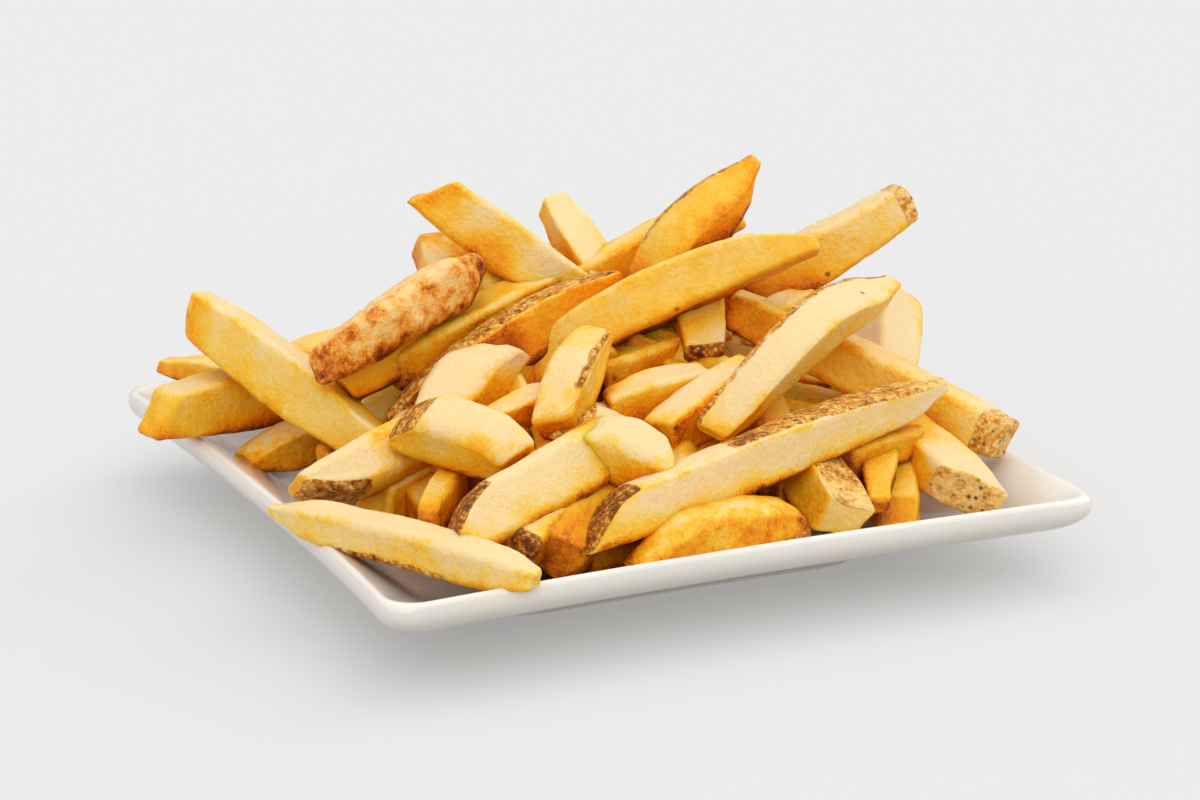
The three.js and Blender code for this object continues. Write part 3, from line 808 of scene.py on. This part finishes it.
def crust_grain(name):
    """Mottling of a cut, fried face: millimetre grain and wider blotches, their relief, and
    painted glints as fine pale specks.
    """
    tree, given, made = new_group(
        name, ("Position",), ("Grain", "Mottle", "Blotch", "Sparkle", "Relief"))
    position = given["Position"]
    fine = noise_node(tree, position, 1500.0, 3.0, 0.7)
    middle = noise_node(tree, position, 330.0, 3.0, 0.6)
    grain = math_node(tree, "ADD", math_node(tree, "MULTIPLY", fine, 0.55),
                      math_node(tree, "MULTIPLY", middle, 0.45))
    pits = math_node(tree, "MULTIPLY", cells_node(tree, position, 620.0)["Distance"], 0.35)
    feed(tree, made, {
        "Grain": grain,
        "Mottle": noise_node(tree, position, 260.0, 5.0, 0.7),
        "Blotch": noise_node(tree, position, 95.0),
        "Sparkle": spread_node(tree, noise_node(tree, position, 2100.0, 2.0, 0.6), 0.50, 0.66),
        "Relief": math_node(tree, "ADD", grain, pits),
    })
    return tree


def potato_skin(name):
    """Potato skin: tan to brown patches with dark specks, and its wrinkled relief."""
    tree, given, made = new_group(name, ("Position", "Scorch"), ("Colour", "Relief"))
    position = given["Position"]
    patches = noise_node(tree, position, 360.0, 5.0, 0.72)
    scales = spread_node(
        tree, cells_node(tree, position, 850.0)["Distance"], 0.1, 0.65, 0.13, -0.07)
    patches = math_node(tree, "ADD", patches, scales)
    patches = math_node(tree, "MULTIPLY_ADD", given["Scorch"], -0.55, patches)
    dots = spread_node(tree, cells_node(tree, position, 520.0)["Distance"], 0.16, 0.36, 1.0, 0.0)
    drawn = spread_node(tree, noise_node(tree, position, 160.0, 1.0), 0.45, 0.60)
    specks = math_node(tree, "MULTIPLY", dots, drawn)
    feed(tree, made, {
        "Colour": mix_colour(tree, math_node(tree, "MULTIPLY", specks, 0.78),
                             ramp_node(tree, patches, SKIN_RAMP), linear(84, 40, 10)),
        "Relief": math_node(tree, "SUBTRACT", noise_node(tree, position, 420.0, 4.0, 0.7),
                            math_node(tree, "MULTIPLY", specks, 0.3)),
    })
    return tree


def eye_spots(name):
    """A few small dark round spots: the middles of wide cells, where chance allows them."""
    tree, given, made = new_group(name, ("Position", "Chance"), ("Mask",))
    cells = cells_node(tree, given["Position"], 130.0)
    dots = spread_node(tree, cells["Distance"], 0.05, 0.13, 1.0, 0.0)
    lots = node(tree, "ShaderNodeSeparateColor", {"Color": cells["Color"]}).outputs["Red"]
    drawn = math_node(tree, "LESS_THAN", lots, given["Chance"])
    feed(tree, made, {"Mask": math_node(tree, "MULTIPLY", dots, drawn)})
    return tree


def frying_and_painted_light(name):
    """How done a point is, with painted light and shade in it: its fry's tone with painted shade,
    and on top the blotches, the grain less its painted glints, the darker rim where blotch and
    grain let it through, and the toast, which is patchy."""
    tree, given, made = new_group(
        name, ("Tone", "Toast", "Rim", "Grain", "Blotch", "Patchiness", "Mottle", "Mottling",
               "Sparkle"), ("Doneness",))
    total = math_node(tree, "MULTIPLY_ADD", given["Tone"], 0.44, 0.06)
    grains = math_node(tree, "ADD", swing(tree, given["Grain"], 0.5),
                       swing(tree, given["Mottle"], given["Mottling"]))
    # Painted glints: fine paler specks that stand in for glints of light on the crust.
    grains = math_node(tree, "MULTIPLY_ADD", given["Sparkle"], -0.11, grains)
    through = spread_node(tree, math_node(tree, "ADD", given["Blotch"], given["Grain"]),
                          0.9, 1.2, 0.1, 1.0)
    rim = math_node(tree, "MULTIPLY", math_node(tree, "MULTIPLY", given["Rim"], through), 0.45)
    patchy = spread_node(tree, given["Blotch"], 0.3, 0.7, 0.5, 1.4)
    toast = math_node(tree, "MULTIPLY", given["Toast"], patchy)
    for part in (swing(tree, given["Blotch"], given["Patchiness"]), grains, rim, toast):
        total = math_node(tree, "ADD", total, part)
    feed(tree, made, {"Doneness": total})
    return tree


def use_group(tree, name, build, values):
    """The outputs of a shared group, which is built the first time it is used, fed with
    values."""
    group = bpy.data.node_groups.get(name) or build(name)
    return node(tree, "ShaderNodeGroup", values, node_tree=group).outputs


def new_material(name):
    """A material with only a Principled shader; gives it, its tree and the shader."""
    material = bpy.data.materials.new(name)
    material.use_nodes = True
    tree = material.node_tree
    tree.nodes.clear()
    shader = tree.nodes.new("ShaderNodeBsdfPrincipled")
    node(tree, "ShaderNodeOutputMaterial", {"Surface": shader.outputs["BSDF"]})
    return material, tree, shader


def fried_potato(name, look):
    """Fried potato: the layers and the grain give how done each point is and so its colour, with
    painted light and shade and painted glints in it, and skin over it where the mesh has skin,
    dark eyes, a soft gloss of oil and light that passes a few millimetres into it."""
    material, tree, shader = new_material(name)
    position = node(tree, "ShaderNodeTexCoord").outputs["Object"]
    layer = {key: node(tree, "ShaderNodeAttribute", attribute_name=key).outputs["Fac"]
             for key in LAYERS}
    grain = use_group(tree, "Crust grain", crust_grain, {"Position": position})
    skin = use_group(tree, "Potato skin", potato_skin,
                     {"Position": position, "Scorch": layer["toast"]})
    eyes = use_group(tree, "Eye spots", eye_spots,
                     {"Position": position, "Chance": layer["eyes"]})
    fried = use_group(tree, "Frying", frying_and_painted_light, {
        "Tone": layer["tone"], "Toast": layer["toast"], "Rim": layer["rim"],
        "Grain": grain["Grain"], "Blotch": grain["Blotch"], "Patchiness": look["patchiness"],
        "Mottle": grain["Mottle"], "Mottling": layer["blister"], "Sparkle": grain["Sparkle"]})
    colour = ramp_node(tree, fried["Doneness"], look["ramp"])
    ragged = math_node(tree, "ADD", layer["skin"],
                       math_node(tree, "SUBTRACT", grain["Mottle"], 0.5))
    skin_mask = math_node(tree, "MULTIPLY", spread_node(tree, ragged, 0.40, 0.62),
                          spread_node(tree, layer["skin"], 0.02, 0.2))
    colour = mix_colour(tree, skin_mask, colour, skin["Colour"])
    colour = mix_colour(tree, math_node(tree, "MULTIPLY", eyes["Mask"], 0.8), colour,
                        linear(92, 44, 6))
    skin_relief = math_node(tree, "MULTIPLY", skin["Relief"], 2.2)
    relief = node(tree, "ShaderNodeMix", {0: skin_mask, 2: grain["Relief"], 3: skin_relief},
                  data_type="FLOAT").outputs[0]
    feed(tree, shader, {
        "Base Color": colour,
        "Normal": bump_node(tree, relief, look["bump"], 0.0010),
        "Roughness": spread_node(tree, grain["Grain"], 0.3, 0.7, look["roughness"] - 0.1,
                                 look["roughness"] + 0.12),
        "Subsurface Weight": look["depth"],
        "Subsurface Radius": (1.0, 0.72, 0.34),
        "Subsurface Scale": 0.0036,
        "IOR": 1.42,
        "Specular IOR Level": 0.3,
    })
    return material


def porcelain():
    """White glazed porcelain: a warm white with the faintest cloudiness, under a clear glaze,
    greyer below the lip as painted shade for the shadowed wall and floor, and bare and matt where
    the foot stands."""
    material, tree, shader = new_material("porcelain")
    position = node(tree, "ShaderNodeTexCoord").outputs["Object"]
    height = node(tree, "ShaderNodeSeparateXYZ", {0: position}).outputs["Z"]
    glaze = ramp_node(tree, noise_node(tree, position, 26.0),
                      ((0.3, (228, 222, 212)), (0.7, (234, 229, 220))))
    lip = spread_node(tree, height, *SHADE_TO_LIP_BAND)
    # Painted shade: the glaze below the lip is greyer, for the shadowed wall and floor.
    glaze = mix_colour(tree, lip, linear(204, 198, 187), glaze)
    foot = spread_node(tree, height, *FOOT_BAND, 1.0, 0.0)
    feed(tree, shader, {
        "Base Color": mix_colour(tree, foot, glaze, linear(226, 218, 204)),
        "Normal": bump_node(tree, noise_node(tree, position, 170.0), 0.06, 0.0006),
        "Roughness": spread_node(tree, foot, 0.0, 1.0, 0.14, 0.7),
        "Coat Weight": 0.35,
        "Coat Roughness": 0.06,
        "IOR": 1.5,
    })
    return material


# ---- settings

def metres(name, description, default, least=0.0):
    """A setting that is a length."""
    return FloatProperty(name=name, description=description, default=default, min=least,
                         precision=5, unit="LENGTH")


def amount(name, description, default):
    """A setting that is a plain number from 0 up."""
    return FloatProperty(name=name, description=description, default=default, min=0.0)


class DishSettings(PropertyGroup):
    side: metres("Side", "Across the lip, at the corners", 0.180, 0.05)
    bow: metres("Bow", "How far the middle of a side pulls in", 0.0033)
    corner: metres("Corner", "Radius of the lip's corners", 0.008)


class CrustSettings(PropertyGroup):
    hollow: metres("Hollow", "How far a side sinks in", 0.00035)
    warp: metres("Warp", "How far a fry wanders off straight", 0.0007)
    lumps: metres("Lumps", "Height of the centimetre bumps", 0.00032)
    dents: metres("Dents", "Height of the smaller dents", 0.00014)
    pits: metres("Pits", "Height of the finest roughness", 0.00007)
    ragged: metres("Ragged", "How uneven the cut ends are", 0.0007)
    # Painted crevice shade: how far out it is sampled and how much it deepens the colour.
    reach: metres("Reach", "How far out crowding is felt", 0.005)
    painted_crevice_shade: amount("Painted crevice shade", "How much crowding deepens the colour", 0.95)
    # Painted light and shade: upper faces made paler, faces turned down made deeper golden.
    painted_facing_shade: amount("Painted shade by facing", "How much paler the upper faces are", 0.46)
    # Painted shade: the lower part of each face made deeper golden, its upper part paler.
    painted_low_shade: amount("Painted shade low down", "How much golder a fry's lower edges are", 0.24)
    around: IntProperty(name="Around", description="Points round a fry", default=48, min=12)
    along: IntProperty(name="Along", description="Rings along a fry", default=70, min=12)


class StageSettings(PropertyGroup):
    floor: FloatVectorProperty(name="Floor", description="Colour of the floor",
                               default=(0.465, 0.465, 0.467), subtype="COLOR", size=3)
    glow: amount("Glow", "Light of the lit table top itself", 0.25)
    key: amount("Key light", "Strength of the light from above", 0.36)
    side: amount("Side light", "Strength of the light from the right", 0.5)
    front: amount("Front light", "Strength of the light from the front", 0.72)
    sky: amount("Room light", "Strength of the light from all round", 1.14)


# ---- operators

class FRIES_OT_dish(Operator):
    """Adds the square porcelain dish"""
    bl_idname = "fries.dish"
    bl_label = "Dish"

    def execute(self, context):
        dish = context.scene.fries_dish
        floor = [(inset, FLOOR_HEIGHT + 0.1 * ((90 - inset) / 40) ** 2) for inset in FLOOR_INSETS]
        base = [(inset, 0.0) for inset in BASE_INSETS]
        profile = np.concatenate([floor, smooth_wall(), base])
        rings = np.stack([dish_ring(dish, inset, height) for inset, height in profile])
        points = np.concatenate([[[0, 0, FLOOR_HEIGHT]], rings.reshape(-1, 3), [[0, 0, 0]]])
        corners, sizes = closed_faces(*rings.shape[:2])
        piece = add_mesh("dish", points, corners, sizes, porcelain(), {})
        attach(piece, "root")
        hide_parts("plate")
        return {"FINISHED"}


class FRIES_OT_core(Operator):
    """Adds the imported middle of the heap"""
    bl_idname = "fries.core"
    bl_label = "Core"

    def execute(self, context):
        (middle_x, middle_y), rise = CORE.centre, CORE.top - CORE.edge
        angle = np.linspace(0, 2 * math.pi, CORE.around, endpoint=False)[None, :]
        share = np.linspace(1, 0, CORE.levels, endpoint=False)[:, None]
        lobed = 1 + 0.06 * np.sin(3 * angle + 1) + 0.04 * np.sin(5 * angle)
        x = middle_x + CORE.radius * share * lobed * np.cos(angle)
        y = middle_y + CORE.radius * share * lobed * np.sin(angle)
        z = CORE.edge + rise * (1 - share ** 2) + 0 * angle
        dome = np.stack([x, y, z], axis=-1)
        dome = dome + 1.6 * vector_noise(dome, 7.0, 3)
        under = dome[:1] * [0.96, 0.96, 0] + [0, 0, CORE.seat + 0.5]
        rings = np.concatenate([under, dome])
        points = np.concatenate([
            [[middle_x, middle_y, CORE.seat]], rings.reshape(-1, 3),
            [[middle_x, middle_y, CORE.top + 0.5]]])
        corners, sizes = closed_faces(*rings.shape[:2])
        # Fried-potato colour made deep golden: painted shade for the heap's hidden, shadowed
        # middle.
        layers = dict(rim=0.0, skin=0.0, toast=0.3, tone=0.9, eyes=0.0, blister=0.4)
        look = {**FRIED_LOOK, **dict(patchiness=0.4, bump=0.6, roughness=0.6, depth=0.1)}
        count_as_fries(add_mesh(
            "packed_core", points, corners, sizes, fried_potato("packed potato", look),
            {key: np.full(len(points), value) for key, value in layers.items()}))
        return {"FINISHED"}


class FRIES_OT_under(Operator):
    """Adds the loose fries underneath"""
    bl_idname = "fries.under"
    bl_label = "Fries underneath"

    def execute(self, context):
        add_fries(context, "fries_underneath", under_fries(), "fries underneath", thirds=2)
        return {"FINISHED"}


class FRIES_OT_back(Operator):
    """Adds the fries on the far side of the heap"""
    bl_idname = "fries.back"
    bl_label = "Far side"

    def execute(self, context):
        add_fries(context, "fries_far_side", BACK_FRIES, "far side fries", roughness=0.4)
        return {"FINISHED"}


class FRIES_OT_pale(Operator):
    """Adds the pale, creamy fries"""
    bl_idname = "fries.pale"
    bl_label = "Pale fries"

    def execute(self, context):
        add_fries(context, "fries_pale", PALE_FRIES, "pale fries")
        return {"FINISHED"}


class FRIES_OT_golden(Operator):
    """Adds the golden fries"""
    bl_idname = "fries.golden"
    bl_label = "Golden fries"

    def execute(self, context):
        add_fries(context, "fries_golden", GOLDEN_FRIES, "golden fries", bump=0.75,
                  roughness=0.38)
        return {"FINISHED"}


class FRIES_OT_skin_on(Operator):
    """Adds the fries with a whole side of skin"""
    bl_idname = "fries.skin_on"
    bl_label = "Skin-on fries"

    def execute(self, context):
        add_fries(context, "fries_skin_on", SKIN_ON_FRIES, "skin-on fries", extra_rings=20)
        return {"FINISHED"}


class FRIES_OT_crisp(Operator):
    """Adds the dark, blistered fries"""
    bl_idname = "fries.crisp"
    bl_label = "Crisp fries"

    def execute(self, context):
        add_fries(context, "fries_crisp", CRISP_FRIES, "crisp fries", ramp=CRISP_RAMP,
                  patchiness=0.65, bump=0.9, roughness=0.45, depth=0.05)
        return {"FINISHED"}


def add_object(name, data, place=(0, 0, 0), aim=None):
    """An object in the scene, with its -Z turned to where it aims."""
    made = bpy.data.objects.new(name, data)
    made.location = place
    if aim:
        made.rotation_euler = Vector(aim).to_track_quat("-Z", "Y").to_euler()
    bpy.context.scene.collection.objects.link(made)
    return made


def add_floor(stage):
    """A wide, matt floor that glows a little, as a lit table top does."""
    material, tree, shader = new_material("floor")
    feed(tree, shader, {
        "Base Color": (*stage.floor, 1.0), "Emission Color": (1.0, 1.0, 1.0, 1.0),
        "Emission Strength": stage.glow, "Roughness": 1.0, "Specular IOR Level": 0.0})
    mesh = bpy.data.meshes.new("floor")
    corners = [(x * 12.0, y * 12.0, 0) for x, y in ((-1, -1), (1, -1), (1, 1), (-1, 1))]
    mesh.from_pydata(corners, [], [(0, 1, 2, 3)])
    mesh.materials.append(material)
    add_object("floor", mesh)


def add_lights(stage):
    """The far lights, with soft shadows."""
    for name, setting, direction, spread, colour in LIGHTS:
        lamp = bpy.data.lights.new(name, "SUN")
        lamp.energy = getattr(stage, setting)
        lamp.angle = math.radians(spread)
        lamp.color = colour
        add_object(name, lamp, aim=direction)


def add_room(context, stage):
    """White light from all round, stronger from above."""
    world = bpy.data.worlds.new("room")
    world.use_nodes = True
    tree = world.node_tree
    direction = node(tree, "ShaderNodeTexCoord").outputs["Generated"]
    height = node(tree, "ShaderNodeSeparateXYZ", {0: direction}).outputs["Z"]
    grey = spread_node(tree, height, -0.1, 0.9, 0.3, 1.0)
    feed(tree, tree.nodes["Background"], {
        "Color": mix_colour(tree, grey, (0, 0, 0, 1), (1, 1, 1, 1)), "Strength": stage.sky})
    context.scene.world = world
    context.scene.view_settings.view_transform = "Standard"


class FRIES_OT_stage(Operator):
    """Adds the floor, the lights and the camera"""
    bl_idname = "fries.stage"
    bl_label = "Stage"

    def execute(self, context):
        stage = context.scene.fries_stage
        add_floor(stage)
        add_lights(stage)
        add_room(context, stage)
        lens = bpy.data.cameras.new("camera")
        lens.lens, lens.sensor_width = CAMERA_LENS, CAMERA_SENSOR
        lens.clip_start, lens.clip_end = 0.01, 50.0
        context.scene.camera = add_object("camera", lens, CAMERA_PLACE, CAMERA_AIM)
        return {"FINISHED"}


class FRIES_PT_panel(Panel):
    """Lists the pieces and their settings"""
    bl_idname = "FRIES_PT_panel"
    bl_label = "French fries"
    bl_space_type = "VIEW_3D"
    bl_region_type = "UI"
    bl_category = "Fries"

    def draw(self, context):
        for settings, operators in PANEL_ROWS:
            box = self.layout.box()
            group = getattr(context.scene, settings)
            for key in group.bl_rna.properties.keys():
                if key not in ("rna_type", "name"):
                    box.prop(group, key)
            for operator in operators:
                box.operator(operator)


PANEL_ROWS = (
    ("fries_dish", ("fries.dish",)),
    ("fries_crust", ("fries.core", "fries.under", "fries.back", "fries.pale", "fries.golden",
                     "fries.skin_on", "fries.crisp")),
    ("fries_stage", ("fries.stage",)),
)
SETTINGS = dict(fries_dish=DishSettings, fries_crust=CrustSettings, fries_stage=StageSettings)
CLASSES = (
    *SETTINGS.values(), FRIES_OT_dish, FRIES_OT_core, FRIES_OT_under, FRIES_OT_back,
    FRIES_OT_pale, FRIES_OT_golden, FRIES_OT_skin_on, FRIES_OT_crisp, FRIES_OT_stage,
    FRIES_PT_panel,
)


def register():
    for cls in CLASSES:
        bpy.utils.register_class(cls)
    for name, kind in SETTINGS.items():
        setattr(bpy.types.Scene, name, PointerProperty(type=kind))


def unregister():
    for name in SETTINGS:
        delattr(bpy.types.Scene, name)
    for cls in reversed(CLASSES):
        bpy.utils.unregister_class(cls)


def main():
    """Adds every piece and the stage."""
    register()
    bpy.ops.fries.dish()
    bpy.ops.fries.core()
    bpy.ops.fries.under()
    bpy.ops.fries.back()
    bpy.ops.fries.pale()
    bpy.ops.fries.golden()
    bpy.ops.fries.skin_on()
    bpy.ops.fries.crisp()
    bpy.ops.fries.stage()
    bpy.context.view_layer.update()


if __name__ == "__main__":
    main()
